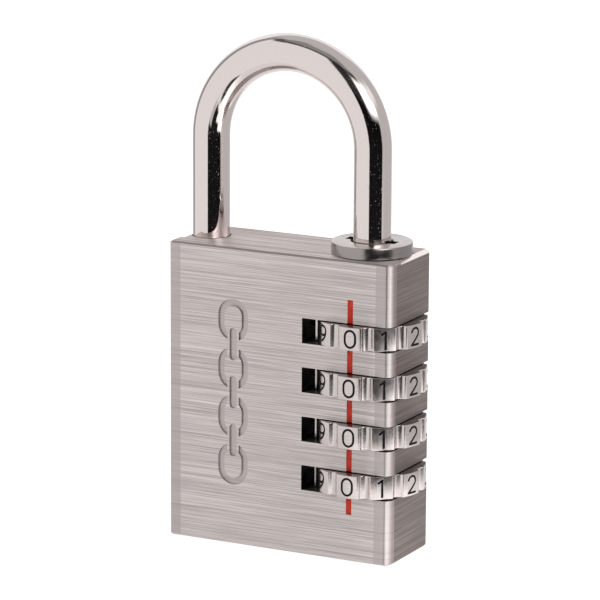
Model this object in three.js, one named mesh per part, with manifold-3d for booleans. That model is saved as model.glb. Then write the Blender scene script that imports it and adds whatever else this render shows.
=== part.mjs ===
// Four-dial combination padlock with a 39 mm body and a 6 mm shackle, closed and set to its code.
// Millimetres, +Z up. The origin is the middle of the body's bottom face. The index line that the
// code is read against is on the front face, at -Y, and the shackle's toe is at -X.
//
// How it works: four hubs stand on top of each other in the main bore, one inside each dial, and
// each hub turns with its dial through ten small teeth. The shackle's long leg runs down through
// all four hubs and carries one lug per dial. A lug waits in the roomy lower half of its hub and
// can only rise past the hub's gate ring where the ring has its gate. With the code set, all four
// gates stand in line, and the shackle lifts by one dial pitch, into the next roomy stretch. To
// change the code the hubs are pushed down on their spring, so that their teeth leave the dials.

import * as THREE from 'three';
import { mergeVertices } from 'three/addons/utils/BufferGeometryUtils.js';
import Module from 'manifold-3d';

const wasm = await Module();
wasm.setup();

// ---------- Driving dimensions ----------

const BODY_WIDTH = 39.3; // along X
const BODY_DEPTH = 14.2; // along Y
const BODY_HEIGHT = 48;
const BODY_CORNER = 1.3; // radius of the four upright edges
const BODY_CHAMFER = 0.35; // around the top and bottom faces

const GAP = 0.3; // clearance between neighbouring pieces
const SHIM = 0.1; // clearance under a piece that sits on a flat face

const SHACKLE_RADIUS = 3;
const TOE_X = -15.6; // short leg
const HEEL_X = 12.75; // long leg, also the axis of the dials and hubs
const BOW_Z = 64.15; // where the legs end and the half circle starts
const TOE_DEPTH = 6.5; // how far the short leg reaches into the body
const TOE_BORE_DEPTH = 7.5;
const HEEL_TIP_Z = 6.4;
const TIP_CHAMFER = 0.6;

const DIAL_COUNT = 4;
const DIAL_PITCH = 7.88;
const DIAL_TOP_Z = 36.12; // middle of the uppermost dial
const DIAL_HEIGHT = 3.7;
const DIAL_RADIUS = 8.85; // over the digit pads
const DIAL_DIGITS = 10;
const FLUTE_DEPTH = 0.65; // finger grooves between the digit pads
const FLUTE_RADIUS = 0.95; // of their round bottoms
const DIAL_REST_DEG = [4.3, 3.3, 3.3, 2.3]; // each dial stops slightly off the index line
const SLOT_HEIGHT = 4;
const SLOT_REACH_X = 3.22; // deepest point of a slot, on the body's middle plane
const SLOT_CUTTER_RADIUS = 25; // the slots are sawn with a disc this large

const BORE_RADIUS = 6; // main bore, for hubs and collar
const BORE_FLOOR_Z = 2;
const HUB_RADIUS = 5.2;
const HUB_BORE = SHACKLE_RADIUS + GAP;
const HUB_TRAVEL = 1.2; // how far the hubs are pushed down to change the code
const HUB_FLANGE_HEIGHT = 1.5; // guides the hub in the bore between two slots
const TOOTH_RADIUS = 5.7;
const TOOTH_WIDTH = 1;
const TOOTH_HEIGHT = 0.9;
const TOOTH_BAND = 1.05; // height of the toothed band inside a dial
const GATE_WIDTH = 2.2;
const GATE_RADIUS = 4.5;
const LUG_WIDTH = 1.6;
const LUG_RADIUS = 4.2;

const COLLAR_RADIUS = 6.4;
const COLLAR_HEIGHT = 2; // above the body's top face
const COLLAR_CHAMFER = 0.3;
const COLLAR_KEYWAY_WIDTH = 1.9;
const COLLAR_KEYWAY_RADIUS = 4.25;

const SPRING_WIRE = 0.6;
const SPRING_RADIUS = 4.6; // to the middle of the wire
const SPRING_TURNS = 2.5;
const WASHER_THICKNESS = 0.5;

const DETENT_HOLE_X = 2.15; // upright hole beside the dials, drilled from below
const DETENT_HOLE_RADIUS = 1.5;
const DETENT_HOLE_TOP_Z = 40;
const DETENT_STRIP = 0.4; // thickness of the spring strip
const DETENT_WIDTH = 2;
const DETENT_BEND = 1.9; // half the height of each bent finger
const DETENT_PLUG_HEIGHT = 1.8;

const INDEX_X = 12.6;
const INDEX_WIDTH = 0.95; // groove of the index line
const INDEX_DEPTH = 0.35;
const INDEX_LOW_Z = 7.56;
const INDEX_HIGH_Z = 41.86;
const INDEX_PAINT_GAP = 0.05;
const INDEX_PAINT_SINK = 0.1; // the paint stands this far below the face

const ROUND_SIDES = 36;
const ROD_SIDES = 24;
const PAD_STEPS = 3;
const FLUTE_STEPS = 4;
const BOW_STEPS = 20;
const OVERCUT = 1; // how far a cutter runs past the face it cuts

// ---------- Places worked out from them ----------

const FRONT_Y = -BODY_DEPTH / 2;
const BOW_RADIUS = (HEEL_X - TOE_X) / 2;
const BOW_X = (HEEL_X + TOE_X) / 2;
const TOE_TIP_Z = BODY_HEIGHT - TOE_DEPTH;
const HALF_DIAL = DIAL_HEIGHT / 2;
const dialZ = Array.from({ length: DIAL_COUNT }, (_, i) => DIAL_TOP_Z - i * DIAL_PITCH);

// A hub's parts, measured up from the middle of its dial.
const HUB_TOP = HALF_DIAL;
const RING_BOTTOM = -HALF_DIAL;
const HUB_BOTTOM = HUB_TOP + GAP - DIAL_PITCH;
const LUG_TOP = RING_BOTTOM - HUB_TRAVEL - GAP;
const LUG_BOTTOM = HUB_BOTTOM + GAP;
const FLANGE_TOP = -(SLOT_HEIGHT / 2) - 0.9;

const COLLAR_BOTTOM_Z = dialZ[0] + LUG_TOP + DIAL_PITCH + GAP;
const SLEEVE_BOTTOM_Z = dialZ[0] + HUB_TOP + GAP;
const WASHER_TOP_Z = dialZ[DIAL_COUNT - 1] + HUB_BOTTOM - GAP;
const SPRING_BOTTOM_Z = BORE_FLOOR_Z + GAP;
const SPRING_TOP_Z = WASHER_TOP_Z - WASHER_THICKNESS - GAP;

// ---------- Helpers ----------

function toSolid(geometry) {
  geometry.deleteAttribute('normal');
  geometry.deleteAttribute('uv');
  const merged = mergeVertices(geometry, 1e-4);
  const vertProperties = new Float32Array(merged.attributes.position.array);
  const triVerts = new Uint32Array(merged.index.array);
  return new wasm.Manifold(new wasm.Mesh({ numProp: 3, vertProperties, triVerts }));
}

function toGeometry(solid) {
  const { vertProperties, triVerts } = solid.getMesh();
  const geometry = new THREE.BufferGeometry();
  geometry.setAttribute('position', new THREE.BufferAttribute(vertProperties, 3));
  geometry.setIndex(new THREE.BufferAttribute(triVerts, 1));
  geometry.computeVertexNormals();
  return geometry;
}

function box(x0, x1, y0, y1, z0, z1) {
  const geometry = new THREE.BoxGeometry(x1 - x0, y1 - y0, z1 - z0);
  geometry.translate((x0 + x1) / 2, (y0 + y1) / 2, (z0 + z1) / 2);
  return toSolid(geometry);
}

function cylinder(x, radius, z0, z1, sides = ROUND_SIDES) {
  const geometry = new THREE.CylinderGeometry(radius, radius, z1 - z0, sides);
  geometry.rotateX(Math.PI / 2);
  geometry.translate(x, 0, (z0 + z1) / 2);
  return toSolid(geometry);
}

// Turns a closed outline of [radius, z] points, listed anticlockwise, about the upright line at x.
function turned(x, outline, sides = ROUND_SIDES) {
  const points = [...outline, outline[0]].map(([radius, z]) => new THREE.Vector2(radius, z));
  const geometry = new THREE.LatheGeometry(points, sides);
  geometry.rotateX(Math.PI / 2);
  geometry.translate(x, 0, 0);
  return toSolid(geometry);
}

function prism(shape, z0, z1) {
  const depth = z1 - z0;
  const geometry = new THREE.ExtrudeGeometry(shape, { depth, bevelEnabled: false, curveSegments: 5 });
  geometry.translate(0, 0, z0);
  return toSolid(geometry);
}

function polar(radius, degrees) {
  const angle = THREE.MathUtils.degToRad(degrees);
  return new THREE.Vector2(radius * Math.cos(angle), radius * Math.sin(angle));
}

function material(color, roughness, metalness) {
  return new THREE.MeshStandardMaterial({ color, roughness, metalness });
}

const padlock = new THREE.Group();

function place(name, solid, finish) {
  const mesh = new THREE.Mesh(toGeometry(solid), finish);
  mesh.name = name;
  padlock.add(mesh);
}

// ---------- Body: sawn from extruded aluminium bar ----------

function bodyOutline() {
  const x = BODY_WIDTH / 2 - BODY_CHAMFER;
  const y = BODY_DEPTH / 2 - BODY_CHAMFER;
  const r = BODY_CORNER - BODY_CHAMFER;
  const shape = new THREE.Shape();
  shape.absarc(x - r, r - y, r, -Math.PI / 2, 0);
  shape.absarc(x - r, y - r, r, 0, Math.PI / 2);
  shape.absarc(r - x, y - r, r, Math.PI / 2, Math.PI);
  shape.absarc(r - x, r - y, r, Math.PI, Math.PI * 1.5);
  return shape;
}

function bodyBar() {
  const geometry = new THREE.ExtrudeGeometry(bodyOutline(), {
    depth: BODY_HEIGHT - 2 * BODY_CHAMFER,
    bevelSize: BODY_CHAMFER,
    bevelThickness: BODY_CHAMFER,
    bevelSegments: 1,
    curveSegments: 3,
  });
  geometry.translate(0, 0, BODY_CHAMFER);
  return toSolid(geometry);
}

// The saw comes in from +X, so each slot's inner wall is an arc that bows towards the toe.
function dialSlot(z) {
  const centreX = SLOT_REACH_X + SLOT_CUTTER_RADIUS;
  const halfAngle = Math.asin((BODY_DEPTH / 2 + OVERCUT) / SLOT_CUTTER_RADIUS);
  const shape = new THREE.Shape();
  shape.absarc(centreX, 0, SLOT_CUTTER_RADIUS, Math.PI - halfAngle, Math.PI + halfAngle);
  shape.lineTo(BODY_WIDTH / 2 + OVERCUT, -BODY_DEPTH / 2 - OVERCUT);
  shape.lineTo(BODY_WIDTH / 2 + OVERCUT, BODY_DEPTH / 2 + OVERCUT);
  return prism(shape, z - SLOT_HEIGHT / 2, z + SLOT_HEIGHT / 2);
}

function indexGroove() {
  const half = INDEX_WIDTH / 2;
  const y0 = FRONT_Y - OVERCUT;
  const y1 = FRONT_Y + INDEX_DEPTH;
  return box(INDEX_X - half, INDEX_X + half, y0, y1, INDEX_LOW_Z, INDEX_HIGH_Z);
}

function bodyBlock() {
  const cuts = [
    cylinder(HEEL_X, BORE_RADIUS, BORE_FLOOR_Z, BODY_HEIGHT + OVERCUT),
    cylinder(TOE_X, SHACKLE_RADIUS + GAP, BODY_HEIGHT - TOE_BORE_DEPTH, BODY_HEIGHT + OVERCUT, ROD_SIDES),
    cylinder(DETENT_HOLE_X, DETENT_HOLE_RADIUS, -OVERCUT, DETENT_HOLE_TOP_Z, ROD_SIDES),
    indexGroove(),
    ...dialZ.map(dialSlot),
  ];
  return cuts.reduce((body, cut) => body.subtract(cut), bodyBar());
}

// The paint fills what the slots leave of the groove: one short bar in each stretch of front face.
function indexLines() {
  const slotEdges = dialZ.flatMap((z) => [z + SLOT_HEIGHT / 2, z - SLOT_HEIGHT / 2]);
  const edges = [INDEX_HIGH_Z, ...slotEdges, INDEX_LOW_Z];
  const half = INDEX_WIDTH / 2 - INDEX_PAINT_GAP;
  const y0 = FRONT_Y + INDEX_PAINT_SINK;
  const y1 = FRONT_Y + INDEX_DEPTH - INDEX_PAINT_GAP;
  for (let i = 0; i <= DIAL_COUNT; i++) {
    const high = edges[2 * i] - INDEX_PAINT_GAP;
    const low = edges[2 * i + 1] + INDEX_PAINT_GAP;
    const bar = box(INDEX_X - half, INDEX_X + half, y0, y1, low, high);
    place(`index_line_${i + 1}`, bar, material('#c23a26', 0.5, 0));
  }
}

// ---------- Shackle: one bent rod with four lugs on its long leg ----------

// The rod's middle line. Its first and last steps are the straight legs, the others the bow.
class RodLine extends THREE.Curve {
  getPointAt(u, target = new THREE.Vector3()) {
    const station = u * (BOW_STEPS + 2);
    if (station < 1) {
      return target.set(TOE_X, 0, THREE.MathUtils.lerp(TOE_TIP_Z, BOW_Z, station));
    }
    if (station > BOW_STEPS + 1) {
      return target.set(HEEL_X, 0, THREE.MathUtils.lerp(BOW_Z, HEEL_TIP_Z, station - BOW_STEPS - 1));
    }
    const angle = Math.PI * (1 - (station - 1) / BOW_STEPS);
    return target.set(BOW_X + BOW_RADIUS * Math.cos(angle), 0, BOW_Z + BOW_RADIUS * Math.sin(angle));
  }

  getTangentAt(u, target = new THREE.Vector3()) {
    const turn = THREE.MathUtils.clamp((u * (BOW_STEPS + 2) - 1) / BOW_STEPS, 0, 1) * Math.PI;
    return target.set(Math.sin(turn), 0, Math.cos(turn));
  }
}

function rod() {
  const section = new THREE.Shape();
  section.absarc(0, 0, SHACKLE_RADIUS, 0, Math.PI * 2);
  const geometry = new THREE.ExtrudeGeometry(section, {
    extrudePath: new RodLine(),
    steps: BOW_STEPS + 2,
    curveSegments: ROD_SIDES / 2,
  });
  return toSolid(geometry);
}

function tipChamfer(x, tipZ) {
  const inner = SHACKLE_RADIUS - TIP_CHAMFER;
  const outer = SHACKLE_RADIUS + OVERCUT;
  const outline = [
    [inner - OVERCUT, tipZ - OVERCUT],
    [outer, tipZ - OVERCUT],
    [outer, tipZ + TIP_CHAMFER + OVERCUT],
  ];
  return turned(x, outline, ROD_SIDES);
}

function lug(z) {
  const half = LUG_WIDTH / 2;
  const bottom = z + LUG_BOTTOM;
  const top = z + LUG_TOP;
  const bar = box(HEEL_X - half, HEEL_X + half, SHACKLE_RADIUS / 2, BORE_RADIUS, bottom, top);
  return cylinder(HEEL_X, LUG_RADIUS, bottom - OVERCUT, top + OVERCUT).intersect(bar);
}

function shackle() {
  const bare = rod().subtract(tipChamfer(TOE_X, TOE_TIP_Z)).subtract(tipChamfer(HEEL_X, HEEL_TIP_Z));
  return dialZ.map(lug).reduce((solid, piece) => solid.add(piece), bare);
}

// ---------- Collar pressed into the top of the bore ----------

// Its underside stops the top lug, so the shackle can't be pulled out. The two keyways let the
// lugs through when the lock is put together, with the shackle turned a quarter.
function retainingCollar() {
  const top = BODY_HEIGHT + COLLAR_HEIGHT;
  const seat = BODY_HEIGHT + SHIM;
  const shank = BORE_RADIUS - GAP;
  const ring = turned(HEEL_X, [
    [HUB_BORE, COLLAR_BOTTOM_Z],
    [shank, COLLAR_BOTTOM_Z],
    [shank, seat],
    [COLLAR_RADIUS, seat],
    [COLLAR_RADIUS, top - COLLAR_CHAMFER],
    [COLLAR_RADIUS - COLLAR_CHAMFER, top],
    [HUB_BORE, top],
  ]);
  const reach = COLLAR_KEYWAY_RADIUS;
  const half = COLLAR_KEYWAY_WIDTH / 2;
  const below = COLLAR_BOTTOM_Z - OVERCUT;
  return ring.subtract(box(HEEL_X - reach, HEEL_X + reach, -half, half, below, top + OVERCUT));
}

function hubStopSleeve() {
  const outer = BORE_RADIUS - GAP;
  const top = COLLAR_BOTTOM_Z - GAP;
  return turned(HEEL_X, [
    [GATE_RADIUS, SLEEVE_BOTTOM_Z],
    [outer, SLEEVE_BOTTOM_Z],
    [outer, top],
    [GATE_RADIUS, top],
  ]);
}

// ---------- Dials ----------

// Ten digit pads on the dial's circle, with a round-bottomed finger groove between each two.
function dialOutline(restDegrees) {
  const step = 360 / DIAL_DIGITS;
  const centre = DIAL_RADIUS - FLUTE_DEPTH + FLUTE_RADIUS; // of a groove, from the dial's axis
  const cosMouth = (DIAL_RADIUS ** 2 + centre ** 2 - FLUTE_RADIUS ** 2) / (2 * DIAL_RADIUS * centre);
  const halfMouth = Math.acos(cosMouth); // as an angle at the dial's axis
  const halfSweep = Math.asin((DIAL_RADIUS * Math.sin(halfMouth)) / FLUTE_RADIUS);
  const mouth = THREE.MathUtils.radToDeg(halfMouth);
  const sweep = THREE.MathUtils.radToDeg(halfSweep);
  const points = [];
  for (let digit = 0; digit < DIAL_DIGITS; digit++) {
    const middle = -90 + restDegrees + digit * step;
    const groove = middle + step / 2;
    for (let i = 0; i <= PAD_STEPS; i++) {
      points.push(polar(DIAL_RADIUS, middle + (step / 2 - mouth) * ((2 * i) / PAD_STEPS - 1)));
    }
    for (let i = 1; i < FLUTE_STEPS; i++) {
      const inward = groove + 180 + sweep * (1 - (2 * i) / FLUTE_STEPS);
      points.push(polar(centre, groove).add(polar(FLUTE_RADIUS, inward)));
    }
  }
  return new THREE.Shape(points);
}

// A star of ten bars from the dial axis out to a radius, one bar between each two digits.
function star(radius, width, z0, z1) {
  const step = 360 / DIAL_DIGITS;
  const bars = Array.from({ length: DIAL_DIGITS }, (_, i) => {
    const geometry = new THREE.BoxGeometry(radius, width, z1 - z0);
    geometry.translate(radius / 2, 0, (z0 + z1) / 2);
    geometry.rotateZ(THREE.MathUtils.degToRad(-90 + (i + 0.5) * step));
    geometry.translate(HEEL_X, 0, 0);
    return toSolid(geometry);
  });
  return bars.reduce((sum, bar) => sum.add(bar));
}

function dial(z, restDegrees) {
  const bottom = z - HALF_DIAL;
  const top = z + HALF_DIAL;
  const band = top - TOOTH_BAND;
  const blank = prism(dialOutline(restDegrees), bottom, top).translate([HEEL_X, 0, 0]);
  const notches = star(TOOTH_RADIUS + GAP, TOOTH_WIDTH + 2 * GAP, band - OVERCUT, top + OVERCUT);
  return blank
    .subtract(cylinder(HEEL_X, BORE_RADIUS, bottom - OVERCUT, band))
    .subtract(cylinder(HEEL_X, HUB_RADIUS + GAP, band - OVERCUT, top + OVERCUT))
    .subtract(notches);
}

// ---------- Hubs ----------

function hub(z) {
  const top = z + HUB_TOP;
  const ringBottom = z + RING_BOTTOM;
  const flangeTop = z + FLANGE_TOP;
  const flangeBottom = flangeTop - HUB_FLANGE_HEIGHT;
  const body = turned(HEEL_X, [
    [HUB_BORE, ringBottom],
    [GATE_RADIUS, ringBottom],
    [GATE_RADIUS, z + HUB_BOTTOM],
    [HUB_RADIUS, z + HUB_BOTTOM],
    [HUB_RADIUS, flangeBottom],
    [TOOTH_RADIUS, flangeBottom],
    [TOOTH_RADIUS, flangeTop],
    [HUB_RADIUS, flangeTop],
    [HUB_RADIUS, top],
    [HUB_BORE, top],
  ]);
  const core = cylinder(HEEL_X, HUB_RADIUS - GAP, top - TOOTH_HEIGHT - OVERCUT, top + OVERCUT);
  const teeth = star(TOOTH_RADIUS, TOOTH_WIDTH, top - TOOTH_HEIGHT, top).subtract(core);
  const half = GATE_WIDTH / 2;
  const slot = box(HEEL_X - half, HEEL_X + half, 0, BORE_RADIUS, ringBottom - OVERCUT, top + OVERCUT);
  const gate = cylinder(HEEL_X, GATE_RADIUS, ringBottom - OVERCUT, top + OVERCUT).intersect(slot);
  return body.add(teeth).subtract(gate);
}

// ---------- Spring, washer and dial detent ----------

function springWasher() {
  const bottom = WASHER_TOP_Z - WASHER_THICKNESS;
  return turned(HEEL_X, [
    [HUB_BORE, bottom],
    [TOOTH_RADIUS, bottom],
    [TOOTH_RADIUS, WASHER_TOP_Z],
    [HUB_BORE, WASHER_TOP_Z],
  ]);
}

class Helix extends THREE.Curve {
  getPoint(t, target = new THREE.Vector3()) {
    const angle = t * SPRING_TURNS * 2 * Math.PI;
    const low = SPRING_BOTTOM_Z + SPRING_WIRE / 2;
    const high = SPRING_TOP_Z - SPRING_WIRE / 2;
    const x = HEEL_X + SPRING_RADIUS * Math.cos(angle);
    return target.set(x, SPRING_RADIUS * Math.sin(angle), THREE.MathUtils.lerp(low, high, t));
  }
}

function hubSpring() {
  const section = new THREE.Shape();
  section.absarc(0, 0, SPRING_WIRE / 2, 0, Math.PI * 2);
  const geometry = new THREE.ExtrudeGeometry(section, {
    extrudePath: new Helix(),
    steps: SPRING_TURNS * 14,
    curveSegments: 4,
  });
  return toSolid(geometry);
}

// A spring strip with one bent finger per dial. It lies on the far side of its hole from the
// dials, and each finger leans out through the slot towards a dial's finger grooves.
function detentSpring() {
  const back = DETENT_HOLE_X - DETENT_HOLE_RADIUS / 2;
  const front = back + DETENT_STRIP;
  const reach = HEEL_X - DIAL_RADIUS - GAP;
  const low = DETENT_PLUG_HEIGHT + 2 * GAP;
  const high = DETENT_HOLE_TOP_Z - GAP;
  const right = [[front, low]];
  const left = [[back, low]];
  for (const z of [...dialZ].reverse()) {
    right.push([front, z - DETENT_BEND], [reach, z], [front, z + DETENT_BEND]);
    left.push([back, z - DETENT_BEND], [reach - DETENT_STRIP, z], [back, z + DETENT_BEND]);
  }
  right.push([front, high]);
  left.push([back, high]);
  const outline = [...right, ...left.reverse()].map(([x, z]) => new THREE.Vector2(x, z));
  const geometry = new THREE.ExtrudeGeometry(new THREE.Shape(outline), {
    depth: DETENT_WIDTH,
    bevelEnabled: false,
  });
  geometry.rotateX(Math.PI / 2);
  geometry.translate(0, DETENT_WIDTH / 2, 0);
  return toSolid(geometry);
}

function detentPlug() {
  const radius = DETENT_HOLE_RADIUS - GAP;
  return cylinder(DETENT_HOLE_X, radius, GAP, GAP + DETENT_PLUG_HEIGHT, ROD_SIDES);
}

// ---------- Assembly ----------

place('body_block', bodyBlock(), material('#bdb5b2', 0.42, 0.9));
indexLines();
place('retaining_collar', retainingCollar(), material('#d6d0ce', 0.12, 1));
place('hub_stop_sleeve', hubStopSleeve(), material('#a9a9ab', 0.35, 1));
place('hub_spring', hubSpring(), material('#8f9092', 0.3, 1));
place('detent_spring', detentSpring(), material('#97989a', 0.3, 1));
place('detent_plug', detentPlug(), material('#b3adab', 0.4, 0.9));
place('shackle', shackle(), material('#dcd6d4', 0.08, 1));
place('spring_washer', springWasher(), material('#a3a3a6', 0.35, 1));

dialZ.forEach((z, i) => {
  place(`dial_${i + 1}`, dial(z, DIAL_REST_DEG[i]), material('#c9c2bf', 0.22, 1));
  place(`hub_${i + 1}`, hub(z), material('#c4a35a', 0.35, 1));
});

export default padlock;
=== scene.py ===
"""Looks of a four-dial combination padlock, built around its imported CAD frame.

Meshes are modelled in millimetres in the part's own frame (+Z up, index line on the front at -Y,
shackle toe at -X) and scaled to metres as they become pieces.
"""

import math

import bmesh
import bpy
from mathutils import Matrix, Vector


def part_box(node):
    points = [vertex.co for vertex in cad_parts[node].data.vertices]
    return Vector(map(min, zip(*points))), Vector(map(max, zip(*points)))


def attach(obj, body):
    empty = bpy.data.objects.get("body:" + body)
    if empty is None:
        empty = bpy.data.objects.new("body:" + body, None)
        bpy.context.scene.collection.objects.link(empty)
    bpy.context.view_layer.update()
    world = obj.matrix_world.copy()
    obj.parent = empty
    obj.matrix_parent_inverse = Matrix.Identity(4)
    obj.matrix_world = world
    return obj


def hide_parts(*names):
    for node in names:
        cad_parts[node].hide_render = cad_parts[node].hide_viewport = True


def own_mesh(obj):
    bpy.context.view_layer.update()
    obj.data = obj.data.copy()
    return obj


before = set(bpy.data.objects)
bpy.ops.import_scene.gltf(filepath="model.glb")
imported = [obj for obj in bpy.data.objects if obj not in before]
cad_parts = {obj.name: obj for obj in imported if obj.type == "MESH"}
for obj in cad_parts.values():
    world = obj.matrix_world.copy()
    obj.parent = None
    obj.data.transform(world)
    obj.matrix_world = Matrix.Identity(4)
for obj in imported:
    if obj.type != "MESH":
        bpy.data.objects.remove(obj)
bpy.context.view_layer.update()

MM = 0.001


def box_mm(node):
    """Lowest and highest corner of a CAD node, in millimetres."""
    low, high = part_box(node)
    return low / MM, high / MM


# ---------- Sizes and places, read from the frame or shared with the CAD part ----------

BODY_LOW, BODY_HIGH = box_mm("body_block")
SHACKLE_LOW, SHACKLE_HIGH = box_mm("shackle")
COLLAR_LOW, COLLAR_HIGH = box_mm("retaining_collar")
DIAL_BOXES = [box_mm(f"dial_{i}") for i in range(1, 5)]

TOE_SIDE_IN = 0.35  # the toe side's sharp corner stands back to where the CAD's round one is seen
SIDE_X = {1: BODY_HIGH.x, -1: BODY_LOW.x + TOE_SIDE_IN}
STRIP_X = {1: SIDE_X[1] - 2.7, -1: SIDE_X[-1] + 2.0}  # inner edges of the front's as-drawn strips
DIAL_SIDE_ROUND = (1.3, 1.8)  # reach along X and Y of the rounding at the front right corner
TOE_SIDE_ROUND = (0.5, 0.5)
BACK_ROUND = (1.1, 1.1)
BODY_CHAMFER = 0.25
END_CHAMFER = (0.85, 0.42)  # along X and along Z, on the two short top edges
END_CHAMFER_START = 3.2  # behind the front face
FRONT_Y = BODY_LOW.y
BODY_TOP = BODY_HIGH.z

ROD = -SHACKLE_LOW.y  # shackle radius
TOE_X = SHACKLE_LOW.x + ROD
HEEL_X = SHACKLE_HIGH.x - ROD
BOW_RADIUS = (HEEL_X - TOE_X) / 2
BOW_X = (HEEL_X + TOE_X) / 2
BOW_Z = SHACKLE_HIGH.z - ROD - BOW_RADIUS
HEEL_TIP_Z = SHACKLE_LOW.z
TOE_TIP_Z = BODY_TOP - 6.5
TIP_CHAMFER = 0.6
GAP = 0.3
TOE_GAP = 0.14  # the toe is a close fit in its bore

BORE_RADIUS = 6.0
BORE_FLOOR_Z = 2.0
TOE_BORE_Z = BODY_TOP - 7.5
DETENT_X = 2.15
DETENT_RADIUS = 1.5
DETENT_TOP_Z = 40.0
SLOT_HALF = 2.0
SLOT_REACH_X = 3.22
SLOT_SAW_RADIUS = 25.0
INDEX_X = 12.6
INDEX_WIDTH = 0.95
INDEX_DEPTH = 0.35
INDEX_LOW_Z = 7.56
INDEX_HIGH_Z = 41.86

DIAL_Z = [(low.z + high.z) / 2 for low, high in DIAL_BOXES]
DIAL_HALF = (DIAL_BOXES[0][1].z - DIAL_BOXES[0][0].z) / 2
DIAL_PITCH = DIAL_Z[0] - DIAL_Z[1]
DIAL_RADIUS = 8.85
DIAL_REST_DEG = (4.3, 3.3, 3.3, 2.3)
DIGITS = 10
DIGIT_STEP = 360 / DIGITS
FLUTE_DEPTH = 0.65
FLUTE_RADIUS = 0.95
SHOULDER = 0.16  # rounding where a digit pad meets a flute
DIAL_EDGE = 0.14  # rounding of the top and bottom rims
TOOTH_BAND = 1.05

HUB_BORE = ROD + GAP
HUB_RADIUS = 5.2
HUB_FLANGE = 1.5
TOOTH_RADIUS = 5.7
TOOTH_WIDTH = 1.0
TOOTH_HEIGHT = 0.9
GATE_RADIUS = 4.5
GATE_WIDTH = 2.2
LUG_RADIUS = 4.2
LUG_WIDTH = 1.6
HUB_TRAVEL = 1.2

STROKE_RADIUS = 0.19  # of the ball cutter that engraves the digits
DIGIT_HALF_HEIGHT = 1.33
DIGIT_HALF_WIDTH = 0.86


# ---------- Mesh building ----------


def polar(radius, degrees, z=0.0):
    angle = math.radians(degrees)
    return Vector((radius * math.cos(angle), radius * math.sin(angle), z))


def loft(rings, looped=False):
    """A closed mesh through rings of points that all have the same length."""
    work = bmesh.new()
    rows = [[work.verts.new(point) for point in ring] for ring in rings]
    pairs = list(zip(rows, rows[1:]))
    if looped:
        pairs.append((rows[-1], rows[0]))
    for low, high in pairs:
        for i in range(len(low)):
            j = (i + 1) % len(low)
            work.faces.new((low[i], low[j], high[j], high[i]))
    if not looped:
        work.faces.new(list(reversed(rows[0])))
        work.faces.new(rows[-1])
    bmesh.ops.recalc_face_normals(work, faces=work.faces)
    mesh = bpy.data.meshes.new("loft")
    work.to_mesh(mesh)
    work.free()
    return mesh


def prism(outline, z0, z1):
    """The outline, a list of (x, y), pulled up from z0 to z1."""
    return loft([[Vector((x, y, z)) for x, y in outline] for z in (z0, z1)])


def block(x0, x1, y0, y1, z0, z1):
    return prism([(x0, y0), (x1, y0), (x1, y1), (x0, y1)], z0, z1)


def lathe(profile, x, sides=96):
    """A closed profile of (radius, z) turned about the upright line at x."""
    rings = []
    for i in range(sides):
        turn = 360 * i / sides
        rings.append([polar(radius, turn, z) + Vector((x, 0, 0)) for radius, z in profile])
    return loft(rings, looped=True)


def spindle(profile, x, sides=64):
    """A solid turned piece: an open profile of (radius, z), closed by a flat at each end."""
    rings = []
    for radius, z in profile:
        rings.append([polar(radius, 360 * i / sides, z) + Vector((x, 0, 0)) for i in range(sides)])
    return loft(rings)


def cylinder(x, radius, z0, z1, sides=64):
    return spindle([(radius, z0), (radius, z1)], x, sides)


def sweep(points, radii, sides, looped=False, side_hint=Vector((0, 1, 0))):
    """A round tube through points, with a radius at each point."""
    rings = []
    last = len(points) - 1
    across = side_hint
    for i, point in enumerate(points):
        before = points[i - 1] if i or looped else point
        after = points[(i + 1) % len(points)] if i < last or looped else point
        along = (after - before).normalized()
        across = (across - along * across.dot(along)).normalized()
        other = along.cross(across)
        ring = []
        for k in range(sides):
            angle = 2 * math.pi * k / sides
            ring.append(point + (across * math.cos(angle) + other * math.sin(angle)) * radii[i])
        rings.append(ring)
    return loft(rings, looped)


def round_ended(points, radius, sides):
    """A tube with a dome at each end."""
    domes = [math.radians(angle) for angle in (80, 55, 30)]
    start = (points[0] - points[1]).normalized()
    end = (points[-1] - points[-2]).normalized()
    line = [points[0] + start * radius * math.sin(a) for a in domes]
    line += points
    line += [points[-1] + end * radius * math.sin(a) for a in reversed(domes)]
    caps = [radius * math.cos(a) for a in domes]
    return sweep(line, caps + [radius] * len(points) + caps[::-1], sides)


def combine(base, tool, operation="DIFFERENCE"):
    """One boolean of two meshes. Both are used up, and the result is returned."""
    holder = bpy.data.objects.new("holder", base)
    cutter = bpy.data.objects.new("cutter", tool)
    for temporary in (holder, cutter):
        bpy.context.scene.collection.objects.link(temporary)
    boolean = holder.modifiers.new("boolean", "BOOLEAN")
    boolean.object = cutter
    boolean.operation = operation
    boolean.solver = "MANIFOLD"
    graph = bpy.context.evaluated_depsgraph_get()
    result = bpy.data.meshes.new_from_object(holder.evaluated_get(graph))
    bpy.data.objects.remove(holder)
    bpy.data.objects.remove(cutter)
    for used in (base, tool):
        bpy.data.meshes.remove(used)
    return result


def cut_all(base, tools):
    for tool in tools:
        base = combine(base, tool)
    return base


def piece(name, mesh, body, nodes, materials, sharp_deg=32, pick=None):
    """Turns a mesh in millimetres into a piece that rides on a body and stands for CAD nodes.

    pick gives a face the index of its material from the face's middle, in millimetres.
    """
    mesh.materials.clear()
    for material in materials:
        mesh.materials.append(material)
    for face in mesh.polygons:
        face.use_smooth = True
        face.material_index = pick(face) if pick else 0
    mesh.transform(Matrix.Scale(MM, 4))
    mesh.set_sharp_from_angle(angle=math.radians(sharp_deg))
    mesh.name = name
    made = bpy.data.objects.new(name, mesh)
    bpy.context.scene.collection.objects.link(made)
    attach(made, body)
    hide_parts(*nodes)
    return made


# ---------- Material building ----------


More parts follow.
